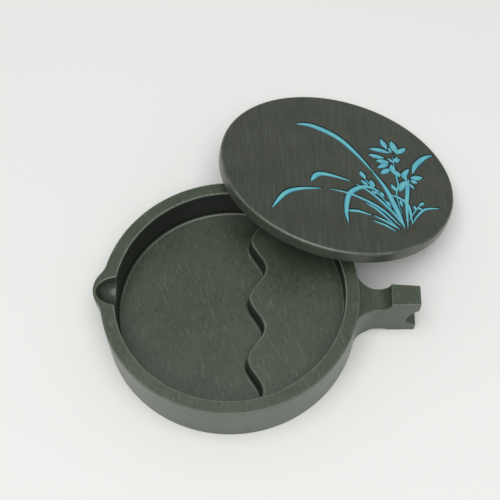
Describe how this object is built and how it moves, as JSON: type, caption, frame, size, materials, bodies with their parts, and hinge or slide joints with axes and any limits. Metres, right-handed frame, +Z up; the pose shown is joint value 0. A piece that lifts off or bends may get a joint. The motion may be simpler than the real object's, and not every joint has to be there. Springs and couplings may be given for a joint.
{
  "type": "ink stone with lid",
  "caption": "Round carved ink stone with pouring spout, wavy grinding platform, deep well and a notched handle that rests a brush, with a flat lid leaning on its rim",
  "frame": {"origin": "centre of the dish's flat base, on the table", "axes": "+X from the dish's axis to the handle, spout along -X, +Z up, +Y completing the right-handed frame, towards the leaning lid"},
  "size_m": [0.1876, 0.2024, 0.0494],
  "materials": {
    "dish_stone": "satin dark grey-green slate, finely rubbed, with light arrises",
    "lid_stone": "satin dark grey-green slate, finely rubbed, with light arrises"
  },
  "bodies": {
    "dish": {"ink_dish": "dish_stone"},
    "lid": {"lid": "lid_stone"}
  },
  "joints": [
    {"name": "lid_lift", "type": "slide", "parent": "dish", "child": "lid", "axis": [0, 0, 1], "range_m": [0, 0.06]}
  ]
}
